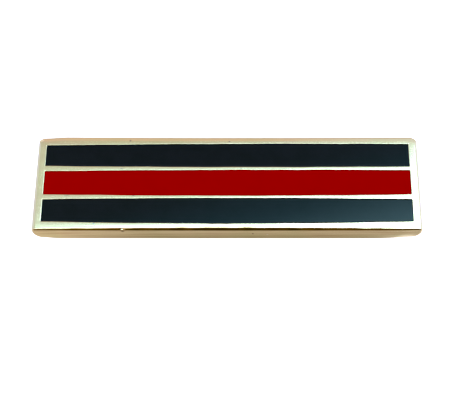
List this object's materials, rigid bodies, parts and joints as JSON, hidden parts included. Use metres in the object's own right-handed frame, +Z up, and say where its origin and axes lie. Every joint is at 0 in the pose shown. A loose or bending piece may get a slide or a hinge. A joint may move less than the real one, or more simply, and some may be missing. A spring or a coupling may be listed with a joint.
{
  "type": "ribbon bar",
  "caption": "Slim rectangular uniform bar: polished gold-plated plate with lengthwise enamel stripes, black either side of red, and a closed pin clasp on its back.",
  "frame": {"origin": "under the middle of the bar, on the surface that the clasp's feet lie on", "axes": "+X along the bar, +Y to its far long side as the picture shows it, +Z up and out of the enamelled face"},
  "size_m": [0.0348, 0.0094, 0.005],
  "materials": {
    "gold_plate": "hand-polished struck brass with thin gold plating",
    "black_enamel": "blue-black hard enamel, ground nearly level with the metal and glossy",
    "red_enamel": "deep red hard enamel, ground nearly level with the metal",
    "clasp_steel": "plain nickel-plated steel"
  },
  "bodies": {
    "root": {"plate": "gold_plate", "enamel_upper": "black_enamel", "enamel_middle": "red_enamel", "enamel_lower": "black_enamel", "pin_clasp": "clasp_steel"}
  },
  "joints": []
}
